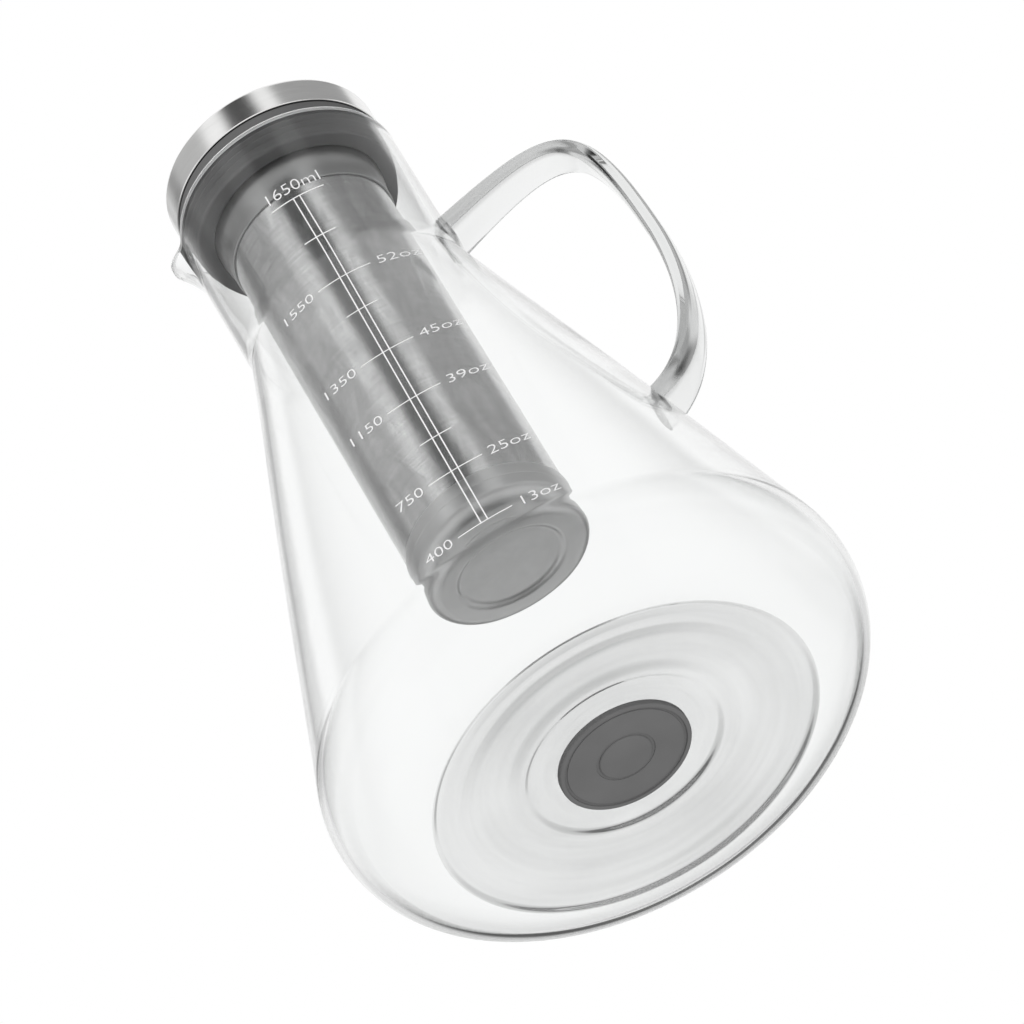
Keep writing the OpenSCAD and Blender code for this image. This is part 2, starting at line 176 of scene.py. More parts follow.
class PrintSizes(PropertyGroup):
    """Sizes of the measuring marks on the glass."""

    aside: length("Aside", "How far the marks stand from the middle towards the handle", 3)
    stroke: length("Stroke", "Width of a printed line", 0.36)
    spine_gap: length("Spine gap", "Distance between the two upright lines", 1.9)
    long_mark: length("Long mark", "Length of a numbered mark", 15.5)
    short_mark: length("Short mark", "Length of a mark between two numbers", 9.2)
    digit_height: length("Digit height", "Height of the numbers", 4.1)
    digit_gap: length("Digit gap", "Gap between a mark and its number", 1.6)
    digit_thinning: length("Digit thinning", "How much is taken off each side of a digit's strokes", 0.07)
    ink: length("Ink", "Thickness of the ink", 0.05)


class Finishes(PropertyGroup):
    """Colours of the finishes."""

    glass: colour("Glass", "Clear glass", 0.985, (0.995, 1.0, 0.998))
    pad: colour("Pad", "Grey silicone under the base", 0.14)
    collar: colour("Collar", "Dark silicone in the neck", 0.125)
    seal: colour("Seal", "Dark silicone round the lid's plug", 0.07)
    core: colour("Core", "Moulded core of the lid", 0.05)
    cap: colour("Cap", "Brushed steel", 0.86, (1.0, 0.998, 0.99))
    sleeve: colour("Sleeve", "Satin steel of the filter's sleeve", 0.42)
    cup: colour("Cup", "Satin steel of the filter's hoop and cup", 0.56)
    wire: colour("Wire", "Steel wire of the mesh", 0.6)
    ink: colour("Ink", "White ink of the measuring marks", 0.9)
    floor: colour("Floor", "Pale floor", 0.86)


# Outlines in the radius and height plane

# The most of a side that the rounding of one of its corners may take up
MOST_OF_SIDE = 0.45


def shares(steps):
    """Even steps from 0 to 1."""
    return [i / steps for i in range(steps + 1)]


def arc(centre, radius, start, end, steps):
    """Points on an arc from one angle to another, in degrees."""
    turns = [math.radians(start + (end - start) * u) for u in shares(steps)]
    return [(centre[0] + radius * math.cos(a), centre[1] + radius * math.sin(a)) for a in turns]


def soft_step(value):
    """A soft step from 0 to 1."""
    u = min(1.0, max(0.0, value))
    return u * u * (3 - 2 * u)


def rounded(corners, steps=4):
    """An outline from corners of radius and height, and a rounding in millimetres where there is one."""
    points = []
    for i, (radius, height, *rounding) in enumerate(corners):
        here = Vector((radius, height))
        if not rounding:
            points.append(tuple(here))
            continue
        before = Vector(corners[i - 1][:2]) - here
        after = Vector(corners[(i + 1) % len(corners)][:2]) - here
        reach = min(rounding[0] * MM, before.length * MOST_OF_SIDE, after.length * MOST_OF_SIDE)
        start, end = here + before.normalized() * reach, here + after.normalized() * reach
        for u in shares(steps):
            points.append(tuple(start * (1 - u) ** 2 + here * 2 * u * (1 - u) + end * u ** 2))
    return points


class GlassShape:
    """The outline of the glass body, worked out from its box and its sizes."""

    # The hollow rises in two steps: each one's share of the rise, and where it starts and its width
    # as shares of the way from the mould ring to the foot band
    HOLLOW_STEPS = ((0.45, 1.0, 0.2), (0.55, 0.66, 0.4))
    # How much of the mould ring's outer slope the level floor inside covers
    FLAT_PAST_RING = 0.7
    # Powers of the lip's rise towards the rim and of its fall to both sides
    LIP_RISE, LIP_FALL = 1.6, 3

    def __init__(self, sizes):
        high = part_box("glass_carafe")[1]
        self.sizes = sizes
        self.height = high.z
        self.corner = Vector((high.x - sizes.corner_radius, sizes.corner_radius))
        self.shoulder = Vector((sizes.neck_radius + sizes.shoulder_radius, sizes.shoulder_height))
        between = self.shoulder - self.corner
        lean = math.acos((sizes.corner_radius + sizes.shoulder_radius) / between.length)
        self.tilt = math.atan2(between.y, between.x) - lean
        self.out = Vector((math.cos(self.tilt), math.sin(self.tilt)))
        self.foot_inner = self.corner.x - sizes.foot_width
        self.band_inner = self.foot_inner - sizes.foot_slope - sizes.foot_band

    def side(self, inset, steps=40):
        """The side from the foot up to the neck, set in by a wall."""
        s = self.sizes
        start = self.corner + self.out * (s.corner_radius - inset)
        end = self.shoulder - self.out * (s.shoulder_radius + inset)
        bulge = [
            tuple(start.lerp(end, u) + self.out * s.side_bow * (1 - math.cos(math.tau * u)) / 2)
            for u in shares(steps)[1:-1]
        ]
        lean = math.degrees(self.tilt)
        return (
            arc(self.corner, s.corner_radius - inset, -90, lean, 24)
            + bulge
            + arc(self.shoulder, s.shoulder_radius + inset, 180 + lean, 180, 12)
        )

    def radius_at(self, height):
        """Radius of the outside of the glass at a height above its corner."""
        points = self.side(0.0)
        for (r0, z0), (r1, z1) in zip(points, points[1:]):
            if z0 <= height < z1:
                return r0 + (r1 - r0) * (height - z0) / (z1 - z0)
        return self.sizes.neck_radius

    def hollow(self, radius):
        """Height of the hollow under the base at a radius inside the foot ring."""
        s = self.sizes
        run, rise = self.band_inner - s.ring_radius, s.push_up - s.foot_step
        height = s.foot_step * soft_step((self.foot_inner - radius) / s.foot_slope)
        for share, start, width in self.HOLLOW_STEPS:
            height += share * rise * soft_step((s.ring_radius + start * run - radius) / (width * run))
        ring_outer = soft_step((s.ring_radius + s.ring_outside - radius) / s.ring_outside)
        ring_inner = soft_step((radius - s.ring_radius + s.ring_inside) / s.ring_inside)
        return height - s.ring_depth * min(ring_outer, ring_inner)

    def underside(self, steps=120):
        """From the axis out: a level seat, the mould ring, the hollow and the foot ring."""
        s = self.sizes
        start = s.ring_radius - s.ring_inside
        radii = [start + (self.foot_inner - start) * u for u in shares(steps)]
        return [(0.0, s.push_up), (start / 2, s.push_up)] + [(r, self.hollow(r)) for r in radii]

    def floor_inside(self, steps=48):
        """From the axis out to the corner: a level floor that runs down to the wall."""
        s = self.sizes
        top = s.push_up + s.floor
        flat = s.ring_radius + self.FLAT_PAST_RING * s.ring_outside
        run, drop = self.corner.x - flat, top - s.wall
        slope = [(flat + run * u, top - drop * soft_step(u)) for u in shares(steps)[:-1]]
        return [(0.0, top), (flat / 2, top)] + slope

    def outline(self, neck_steps=14):
        """The section, from the axis under the base over the rim to the axis inside."""
        s = self.sizes
        bore = s.neck_radius - s.wall
        below, above = s.shoulder_height, self.height - s.rim_round
        neck = [below + (above - below) * u for u in shares(neck_steps)[1:-1]]
        rim = (
            arc((s.neck_radius - s.rim_round, above), s.rim_round, 0, 90, 8)
            + arc((bore + s.rim_round, above), s.rim_round, 90, 180, 8)
        )
        outside = self.underside() + self.side(0.0) + [(s.neck_radius, z) for z in neck]
        inside = self.floor_inside() + self.side(s.wall) + [(bore, z) for z in neck]
        return outside + rim + inside[::-1]

    def lip_push(self, angle, height):
        """How far the pouring lip, opposite the handle, moves the wall out at an angle and height."""
        s = self.sizes
        u = (height - (self.height - s.lip_drop)) / s.lip_drop
        if u <= 0.0:
            return 0.0
        aside = abs((angle - math.pi) / s.lip_spread)
        return s.lip_reach * u ** self.LIP_RISE * math.exp(-aside ** self.LIP_FALL)


# Meshes and objects

def in_scene(name, data):
    """A new object with the given data, in the scene."""
    made = bpy.data.objects.new(name, data)
    bpy.context.scene.collection.objects.link(made)
    return made


def new_piece(name, mesh, material, body, replaced=()):
    """Puts a finished mesh in the scene, riding on its body and standing for its solids."""
    piece = in_scene(name, mesh)
    mesh.materials.clear()
    mesh.materials.append(material)
    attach(piece, body)
    if replaced:
        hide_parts(*replaced)


def smoothed(bm, mesh, sharp_angle):
    """Writes a bmesh into a mesh that is smooth up to an angle in degrees."""
    bmesh.ops.recalc_face_normals(bm, faces=bm.faces)
    bm.to_mesh(mesh)
    bm.free()
    mesh.shade_smooth()
    mesh.set_sharp_from_angle(angle=math.radians(sharp_angle))


def turned_piece(name, outline, material, body, solid, segments=160, push=None):
    """Turns points of radius and height into the piece of one solid, closed where they end on the axis."""
    mesh = bpy.data.meshes.new(name)
    bm = bmesh.new()
    rings = []
    for radius, height in outline:
        if radius < ON_AXIS:
            rings.append([bm.verts.new((0.0, 0.0, height))] * segments)
            continue
        ring = []
        for angle in (math.tau * k / segments for k in range(segments)):
            reach = radius + (push(angle, height) if push else 0.0)
            ring.append(bm.verts.new((reach * math.cos(angle), reach * math.sin(angle), height)))
        rings.append(ring)
    ends_on_axis = outline[0][0] < ON_AXIS
    for low, high in zip(rings, rings[1:] if ends_on_axis else rings[1:] + rings[:1]):
        for k in range(segments):
            after = (k + 1) % segments
            corners = dict.fromkeys([low[k], low[after], high[after], high[k]])
            bm.faces.new(list(corners))
    smoothed(bm, mesh, sharp_angle=35)
    new_piece(name, mesh, material, body, [solid])
    return mesh


def baked(name, source, tree, inputs):
    """Runs a geometry tree on an object and gives its result as a plain mesh."""
    modifier = source.modifiers.new(tree.name, "NODES")
    modifier.node_group = tree
    for item in tree.interface.items_tree:
        if item.item_type == "SOCKET" and item.in_out == "INPUT" and item.name in inputs:
            modifier[item.identifier] = inputs[item.name]
    evaluated = source.evaluated_get(bpy.context.evaluated_depsgraph_get())
    mesh = bpy.data.meshes.new_from_object(evaluated)
    mesh.name = name
    source.modifiers.remove(modifier)
    bpy.data.objects.remove(source)
    if not mesh.polygons:
        raise RuntimeError(f"{name} came out of its geometry tree without faces")
    return mesh


# Node trees

class Nodes:
    """A node tree with short ways to add nodes. A value is a number, a vector, a colour or a socket."""

    def __init__(self, tree):
        self.tree = tree

    def join(self, node, inputs):
        """Sets each input of a node to its value, or joins it to its socket."""
        for key, value in inputs.items():
            if isinstance(value, NodeSocket):
                self.tree.links.new(value, node.inputs[key])
            else:
                node.inputs[key].default_value = value

    def add(self, kind, inputs=None, **settings):
        """A new node with its settings made and its inputs set or joined."""
        node = self.tree.nodes.new(kind)
        for key, value in settings.items():
            setattr(node, key, value)
        self.join(node, inputs or {})
        return node

    def maths(self, operation, *values):
        """The result of a Math node."""
        return self.add("ShaderNodeMath", dict(enumerate(values)), operation=operation).outputs[0]

    def times(self, first, second):
        """The product of two values."""
        return self.maths("MULTIPLY", first, second)

    def line(self, value, slope, start):
        """A value times a slope, added to a start."""
        return self.maths("MULTIPLY_ADD", value, slope, start)

    def vector_maths(self, operation, result, inputs):
        """The named result of a Vector Math node."""
        return self.add("ShaderNodeVectorMath", inputs, operation=operation).outputs[result]

    def parts(self, vector):
        """The three parts of a vector."""
        return self.add("ShaderNodeSeparateXYZ", {0: vector}).outputs

    def vector(self, *parts):
        """A vector from its parts."""
        return self.add("ShaderNodeCombineXYZ", dict(enumerate(parts))).outputs[0]

    def place(self):
        """The shaded point in the object's own space."""
        return self.add("ShaderNodeTexCoord").outputs["Object"]

    def noise(self, place, scale, detail, roughness=0.5, distortion=0.0):
        """Soft noise from 0 to 1."""
        return self.add("ShaderNodeTexNoise", {
            "Vector": place, "Scale": scale, "Detail": detail, "Roughness": roughness,
            "Distortion": distortion,
        }).outputs["Fac"]

    def mix(self, factor, first, second):
        """The colour between two colours of three numbers."""
        node = self.add("ShaderNodeMix", {"Factor": factor}, data_type="RGBA")
        for socket, levels in zip([s for s in node.inputs if s.type == "RGBA"], (first, second)):
            socket.default_value = (*levels, 1.0)
        return next(s for s in node.outputs if s.type == "RGBA")

    def bump(self, height, strength, millimetres):
        """The normal of a surface with bumps of a height in millimetres."""
        inputs = {"Height": height, "Strength": strength, "Distance": millimetres * MM}
        return self.add("ShaderNodeBump", inputs).outputs["Normal"]

    def group(self, name, inputs):
        """The outputs of a shader group, which is made the first time that it is asked for."""
        tree = bpy.data.node_groups.get(name) or GROUP_MAKERS[name](name)
        return self.add("ShaderNodeGroup", inputs, node_tree=tree).outputs

    def clear_part(self, output, shader, share, colour):
        """Makes a share of a surface let light straight through, in a colour."""
        clear = self.add("ShaderNodeBsdfTransparent", {"Color": colour}).outputs["BSDF"]
        both = self.add("ShaderNodeMixShader", {0: share, 1: shader.outputs["BSDF"], 2: clear})
        self.join(output, {"Surface": both.outputs[0]})


def ends(tree):
    """The nodes of a group, the outputs of its input node, and its output node."""
    return Nodes(tree), tree.nodes.new("NodeGroupInput").outputs, tree.nodes.new("NodeGroupOutput")


def shader_group(name, inputs, outputs):
    """An empty shader group with named float inputs, with their defaults, and named float outputs."""
    tree = bpy.data.node_groups.new(name, "ShaderNodeTree")
    for label, default in inputs.items():
        socket = tree.interface.new_socket(label, in_out="INPUT", socket_type="NodeSocketFloat")
        socket.default_value = default
    for label in outputs:
        tree.interface.new_socket(label, in_out="OUTPUT", socket_type="NodeSocketFloat")
    return ends(tree)


def around_axis(n, size):
    """Radius and height of the shaded point, and the two parts of its turn on a circle of a size."""
    x, y, height = n.parts(n.place())
    square = n.maths("ADD", n.times(x, x), n.times(y, y))
    radius = n.maths("MAXIMUM", n.maths("SQRT", square), ON_AXIS)
    return radius, height, [n.times(n.maths("DIVIDE", part, radius), size) for part in (x, y)]


def turned_lines(name):
    """Fine lines that run round the axis, as a brush or a lathe leaves them, and broader streaks. Under the
    glass base they shape a painted shade.
    """
    n, given, result = shader_group(name, {"Lines": 4000.0, "Length": 3.0}, ["Line", "Streak"])
    streaks_to_lines = 0.12
    radius, height, turn = around_axis(n, given["Length"])
    across = n.times(n.maths("ADD", radius, height), given["Lines"])
    broad = n.times(across, streaks_to_lines)
    n.join(result, {
        "Line": n.noise(n.vector(*turn, across), 1.0, 3.0, 0.6),
        "Streak": n.noise(n.vector(*turn, broad), 1.0, 2.0),
    })
    return n.tree


def moulded_grain(name):
    """The fine pebbled skin of a moulded piece, with a slow mottle."""
    n, given, result = shader_group(name, {"Grain": 2500.0, "Mottle": 60.0}, ["Pebble", "Mottle"])
    place = n.place()
    n.join(result, {
        "Pebble": n.noise(place, given["Grain"], 4.0), "Mottle": n.noise(place, given["Mottle"], 3.0),
    })
    return n.tree


def glass_flow(name):
    """The slow waves that blowing and drawing leave in glass, longer round the axis than along it."""
    n, given, result = shader_group(name, {"Waves": 45.0, "Round": 1.2}, ["Wave"])
    radius_share = 0.6
    radius, height, turn = around_axis(n, given["Round"])
    along = n.times(n.line(radius, radius_share, height), given["Waves"])
    n.join(result, {"Wave": n.noise(n.vector(*turn, along), 1.0, 2.0, 0.35)})
    return n.tree


def grey_panel(name):
    """How bright the room is in a direction, with one soft grey panel in it. Angles are in degrees."""
    n, given, result = shader_group(name, {
        "Turn": 0.0, "Climb": 0.0, "Turn Middle": 0.0, "Turn Half": 10.0, "Turn Edge": 10.0,
        "Climb Middle": 0.0, "Climb Half": 10.0, "Climb Edge": 10.0, "Depth": 0.5,
    }, ["Level"])
    taken = given["Depth"]
    for side in ("Turn", "Climb"):
        away = n.maths("WRAP", n.maths("SUBTRACT", given[side], given[side + " Middle"]), 180.0, -180.0)
        past = n.maths("SUBTRACT", n.maths("ABSOLUTE", away), given[side + " Half"])
        fade = n.add("ShaderNodeMapRange", {
            "Value": n.maths("DIVIDE", past, given[side + " Edge"]), "To Min": 1.0, "To Max": 0.0,
        }, interpolation_type="SMOOTHSTEP")
        taken = n.times(taken, fade.outputs["Result"])
    n.join(result, {"Level": n.maths("SUBTRACT", 1.0, taken)})
    return n.tree


GROUP_MAKERS = {
    "Turned Lines": turned_lines, "Moulded Grain": moulded_grain, "Glass Flow": glass_flow,
    "Grey Panel": grey_panel,
}


# Materials

# Borosilicate glass: how it bends light, how much of its mirror is kept, and how often light may turn
# inside it before it is let through
GLASS_IOR, GLASS_SHINE, GLASS_TURNS = 1.474, 0.3, 2.5
# Share of light that is let through: of a lamp, and of light that turned inside the glass too often
LAMP_LEFT, CAUGHT_LEFT = 0.9, 0.8
# How little of each colour the murk spares
MURK_COLOUR = (0.0, 0.02, 0.01, 1.0)


def new_material(name):
    """An empty material, its nodes, and its Principled shader, joined to its output."""
    material = bpy.data.materials.new(name)
    material.use_nodes = True
    n = Nodes(material.node_tree)
    n.tree.nodes.clear()
    shader = n.add("ShaderNodeBsdfPrincipled")
    output = n.add("ShaderNodeOutputMaterial", {"Surface": shader.outputs["BSDF"]})
    return material, n, shader, output


def shades(base, *factors):
    """A colour made darker or paler by each factor."""
    return [[min(1.0, level * factor) for level in base] for factor in factors]


def clear_glass(name, tint, waves, strength, clearness=1.0, painted_shade_share=0.0, murk=0.0):
    """Clear glass with slow waves in its surface. It lets lamplight through, and light caught inside it.

    With a share of painted shade, the glass is painted a darker grey in soft streaks that run round the
    axis.
    With murk, the glass absorbs light along its depth, with this density per metre.
    """
    material, n, shader, output = new_material(name)
    colour = (*tint, 1.0)
    if painted_shade_share:
        # Painted shade: the glass is painted a darker grey in soft streaks that run round the axis.
        marks = n.group("Turned Lines", {"Lines": 300.0, "Length": 0.6})
        grey = n.add("ShaderNodeMapRange", {
            "Value": n.line(marks["Streak"], 3.0, marks["Line"]), "From Min": 1.2, "From Max": 2.8,
        }).outputs["Result"]
        colour = n.mix(grey, *shades(tint, 1.0 - painted_shade_share, 1.0 - painted_shade_share / 3))
    n.join(shader, {
        "Base Color": colour, "Roughness": 0.0, "IOR": GLASS_IOR, "Transmission Weight": clearness,
        "Specular Tint": (GLASS_SHINE, GLASS_SHINE, GLASS_SHINE, 1.0),
        "Normal": n.bump(n.group("Glass Flow", {"Waves": waves})["Wave"], strength, 0.4),
    })
    if murk:
        depth = n.add("ShaderNodeVolumeAbsorption", {"Density": murk, "Color": MURK_COLOUR})
        n.join(output, {"Volume": depth.outputs["Volume"]})
    rays = n.add("ShaderNodeLightPath").outputs
    caught = n.maths("GREATER_THAN", rays["Glossy Depth"], GLASS_TURNS)
    dimmed = n.mix(caught, (LAMP_LEFT,) * 3, (CAUGHT_LEFT,) * 3)
    n.clear_part(output, shader, n.maths("MAXIMUM", rays["Is Shadow Ray"], caught), dimmed)
    return material


def silicone(name, base, grain=2600.0, roughness=0.62):
    """Matte moulded silicone with a fine skin and a slow mottle."""
    material, n, shader, _ = new_material(name)
    skin = n.group("Moulded Grain", {"Grain": grain})
    roughness_swing = 0.2
    n.join(shader, {
        "Base Color": n.mix(skin["Mottle"], *shades(base, 0.84, 1.18)), "Specular IOR Level": 0.2,
        "Roughness": n.line(skin["Pebble"], roughness_swing, roughness - roughness_swing / 2),
        "Normal": n.bump(skin["Pebble"], 0.25, 0.04),
    })
    return material


def brushed_steel(name, base, lines, roughness):
    """Steel brushed round its axis, with darker and paler lines."""
    material, n, shader, _ = new_material(name)
    brush = n.group("Turned Lines", {"Lines": lines})
    line_share, roughness_swing = 0.55, 0.14
    shade = n.line(brush["Line"], line_share, n.times(brush["Streak"], 1.0 - line_share))
    n.join(shader, {
        "Base Color": n.mix(shade, *shades(base, 0.86, 1.12)), "Metallic": 1.0,
        "Roughness": n.line(brush["Line"], roughness_swing, roughness - roughness_swing / 2),
        "Normal": n.bump(brush["Line"], 0.25, 0.02),
    })
    return material


def woven_mesh(name, base, pitch, radius):
    """Fine woven steel wire: rings and uprights that pass over and under each other, with long smears. Its
    colour is darker in the gaps and where a wire dips under another: painted shade.
    """
    material, n, shader, _ = new_material(name)
    x, y, z = n.parts(n.place())
    wire_count = round(math.tau * radius / pitch / 2) * 2
    turn = n.times(n.maths("ARCTAN2", y, x), wire_count / 2)
    climb = n.times(z, math.pi / pitch)
    ring, upright = (n.maths("ABSOLUTE", n.maths("SINE", wave)) for wave in (climb, turn))
    weave = n.times(n.maths("COSINE", climb), n.maths("COSINE", turn))
    # Painted shade: the colour is darker in the gaps between wires and where a wire dips under another.
    under_share, upright_share = 0.25, 0.8
    over = n.line(weave, under_share, 1.0 - under_share)
    wires = n.times(n.maths("MAXIMUM", ring, n.times(upright, upright_share)), over)
    line = n.group("Turned Lines", {"Lines": 1800.0, "Length": 2.0})["Line"]
    smears_round, smears_up = 3.5, 45.0
    _, height, circle = around_axis(n, smears_round)
    smear = n.noise(n.vector(*circle, n.times(height, smears_up)), 1.0, 5.0, 0.6, 1.4)
    smear_share, line_share, least = 0.8, 0.4, 0.33
    tone = n.line(smear, smear_share, n.line(line, line_share, least))
    woven = n.mix(wires, *shades(base, 0.8, 1.08))
    n.join(shader, {
        "Base Color": n.vector_maths("SCALE", "Vector", {0: woven, "Scale": tone}), "Metallic": 0.92,
        "Roughness": n.line(wires, -0.1, 0.25), "Normal": n.bump(wires, 0.15, 0.05),
    })
    return material


def screen_ink(name, base):
    """Screen-printed ink, a little uneven in cover."""
    material, n, shader, _ = new_material(name)
    pebble = n.group("Moulded Grain", {"Grain": 3200.0})["Pebble"]
    n.join(shader, {
        "Base Color": n.mix(pebble, *shades(base, 0.9, 1.0)), "Roughness": 0.5,
        "Normal": n.bump(pebble, 0.2, 0.01),
    })
    return material


# Geometry trees

def geometry_tree(name, **inputs):
    """An empty geometry tree that takes and gives a geometry, with the named inputs of each kind."""
    tree = bpy.data.node_groups.new(name, "GeometryNodeTree")
    for way in ("INPUT", "OUTPUT"):
        tree.interface.new_socket("Geometry", in_out=way, socket_type="NodeSocketGeometry")
    for kind, labels in inputs.items():
        for label in labels:
            tree.interface.new_socket(label, in_out="INPUT", socket_type="NodeSocket" + kind)
    return ends(tree)


def give(n, result, geometry, material):
    """Ends a geometry tree with a geometry in its material."""
    done = n.add("GeometryNodeSetMaterial", {"Geometry": geometry, "Material": material})
    n.join(result, {"Geometry": done.outputs[0]})
    return n.tree


def strap_tree():
    """Sweeps a rounded strap along a curve, wider at both ends, where it is welded on."""
    n, given, result = geometry_tree(
        "Glass Strap", Float=["Width", "Thickness", "Flare", "Flare Share", "Squareness"],
        Int=["Steps", "Points"], Material=["Material"],
    )
    path = n.add("GeometryNodeResampleCurve", {"Curve": given["Geometry"], "Count": given["Steps"]})
    along = n.add("GeometryNodeSplineParameter").outputs["Factor"]
    to_end = n.maths("MINIMUM", along, n.maths("SUBTRACT", 1.0, along))
    from_flare = n.maths("SUBTRACT", 1.0, n.maths("DIVIDE", to_end, given["Flare Share"]))
    near = n.maths("MAXIMUM", 0.0, from_flare)
    swell = n.line(n.maths("POWER", near, 2.0), given["Flare"], 1.0)
    circle = n.add("GeometryNodeCurvePrimitiveCircle", {"Resolution": given["Points"], "Radius": 1.0})
    x, y, _ = n.parts(n.add("GeometryNodeInputPosition").outputs[0])
    halves = []
    for part, size in ((x, given["Width"]), (y, given["Thickness"])):
        soft = n.maths("POWER", n.maths("ABSOLUTE", part), given["Squareness"])
        halves.append(n.times(n.times(n.maths("SIGN", part), soft), n.times(size, 0.5)))
    section = n.add("GeometryNodeSetPosition", {
        "Geometry": circle.outputs["Curve"], "Position": n.vector(*halves),
    })
    swept = n.add("GeometryNodeCurveToMesh", {
        "Curve": path.outputs[0], "Profile Curve": section.outputs[0], "Scale": swell, "Fill Caps": True,
    })
    real = n.add("GeometryNodeRealizeInstances", {0: swept.outputs[0]})
    smooth = n.add("GeometryNodeSetShadeSmooth", {0: real.outputs[0]})
    return give(n, result, smooth.outputs[0], given["Material"])


def print_tree(name, bars):
    """Wraps flat print, drawn in the X and Z plane with its thickness along Y, onto the front of the glass.

    With bars, each point becomes a printed bar of its own width and height first.
    """
    n, given, result = geometry_tree(
        name, Object=["Glass"], Float=["Ink"], Int=["Steps Across", "Steps Up"] if bars else [],
        Material=["Material"],
    )
    flat = given["Geometry"]
    if bars:
        bar = n.add("GeometryNodeMeshCube", {
            "Size": (1.0, 1.0, 1.0), "Vertices X": given["Steps Across"], "Vertices Y": 2,
            "Vertices Z": given["Steps Up"],
        })
        size = n.add("GeometryNodeInputNamedAttribute", {"Name": "bar_size"}, data_type="FLOAT_VECTOR")
        placed = n.add("GeometryNodeInstanceOnPoints", {
            "Points": flat, "Instance": bar.outputs["Mesh"], "Scale": size.outputs["Attribute"],
        })
        flat = n.add("GeometryNodeRealizeInstances", {0: placed.outputs[0]}).outputs[0]
    ray_start, ray_length = -1.0, 2.0
    x, y, z = n.parts(n.add("GeometryNodeInputPosition").outputs[0])
    target = n.add("GeometryNodeObjectInfo", {"Object": given["Glass"]}, transform_space="RELATIVE")
    hit = n.add("GeometryNodeRaycast", {
        "Target Geometry": target.outputs["Geometry"], "Source Position": n.vector(x, ray_start, z),
        "Ray Direction": (0.0, 1.0, 0.0), "Ray Length": ray_length,
    }).outputs
    lift = n.line(y, -1.0, given["Ink"])
    raised = n.vector_maths("SCALE", "Vector", {0: hit["Hit Normal"], "Scale": lift})
    where = n.vector_maths("ADD", "Vector", {0: hit["Hit Position"], 1: raised})
    wrapped = n.add("GeometryNodeSetPosition", {"Geometry": flat, "Position": where})
    return give(n, result, wrapped.outputs[0], given["Material"])


# Operators

class PITCHER_OT_glass_body(Operator):
    """Turn the glass body with its lip, foot ring and ringed base"""

    bl_idname = "pitcher.glass_body"
    bl_label = "Glass body"

    def execute(self, context):
        shape = GlassShape(context.scene.pitcher_glass)
        tint = context.scene.pitcher_finishes.glass
        blown = clear_glass("blown_glass", tint, waves=42.0, strength=0.35)
        mesh = turned_piece(
            "glass_body", shape.outline(), blown, "carafe", "glass_carafe",
            segments=256, push=shape.lip_push,
        )
        # The rounded rim is made half white, so that it shows as a bright line: painted highlight.
        mesh.materials.append(clear_glass("rim_painted_highlight", tint, waves=300.0, strength=0.2, clearness=0.5))
        # The underside inside the foot ring is painted a darker grey in streaks round the axis: painted
        # shade.
        mesh.materials.append(clear_glass("underside_painted_shade", tint, waves=42.0, strength=0.35, painted_shade_share=0.5))
        # Faces of the rounded rim take the painted highlight, and faces that face down inside the foot ring
        # take the painted shade.
        edge = shape.height - shape.sizes.rim_round
        faces_down = -0.5
        for face in mesh.polygons:
            under = face.normal.z < faces_down and face.center.xy.length < shape.foot_inner
            face.material_index = 2 if under else int(face.center.z > edge)
        return {"FINISHED"}


# How deep the curve's ends lie in the glass, in thicknesses of the strap
END_DEPTH = 0.75
# Control points of the curve. The arm's and the heel's lie at a share of the way from their weld to
# the back, and millimetres above the crown and the lower weld
ARM_SHARE, ARM_UP = 0.82, 6.3
HEEL_SHARE, HEEL_UP = 0.73, 3.7
# The back's upper one lies millimetres in from the back and above the crown, the lower one opposite
CROWN_IN, CROWN_UP = 0.7, 5.5
BELOW_SHARE = 0.91


def strap_path(s, shape):
    """The curve along the middle of the strap, with a knot at each weld and one at the back."""
    reach, crown = s.reach - s.thickness / 2, s.crown_height - s.thickness / 2
    upper, lower = (
        Vector((shape.radius_at(weld) - END_DEPTH * s.thickness, weld))
        for weld in (s.upper_weld, s.lower_weld)
    )
    back = Vector((reach, s.back_height))
    above = Vector((reach - CROWN_IN * MM, crown + CROWN_UP * MM))
    arm = Vector((upper.x + ARM_SHARE * (reach - upper.x), crown + ARM_UP * MM))
    left = (s.back_height - s.lower_weld) / (s.crown_height - s.lower_weld)
    below = back + (back - above) * left * BELOW_SHARE
    heel = Vector((lower.x + HEEL_SHARE * (reach - lower.x), s.lower_weld + HEEL_UP * MM))
    knots = ((upper, upper, arm), (above, back, below), (heel, lower, lower))
    curve = bpy.data.curves.new("glass_strap_path", "CURVE")
    curve.dimensions = "3D"
    curve.resolution_u = 32
    points = curve.splines.new("BEZIER").bezier_points
    points.add(len(knots) - 1)
    for point, knot in zip(points, knots):
        point.handle_left_type = point.handle_right_type = "FREE"
        point.handle_left, point.co, point.handle_right = ((p.x, 0.0, p.y) for p in knot)
    return in_scene("glass_strap_path", curve)


def weld_strap(mesh, shape, depth):
    """Ends the strap on the glass: what lies deeper moves out to the weld and melts together."""
    bm = bmesh.new()
    bm.from_mesh(mesh)
    for vertex in bm.verts:
        place = vertex.co
        surface = shape.radius_at(place.z) - depth
        place.x = max(place.x, math.sqrt(max(0.0, surface ** 2 - place.y ** 2)))
    bmesh.ops.dissolve_degenerate(bm, dist=0.1 * MM, edges=bm.edges)
    smoothed(bm, mesh, sharp_angle=50)


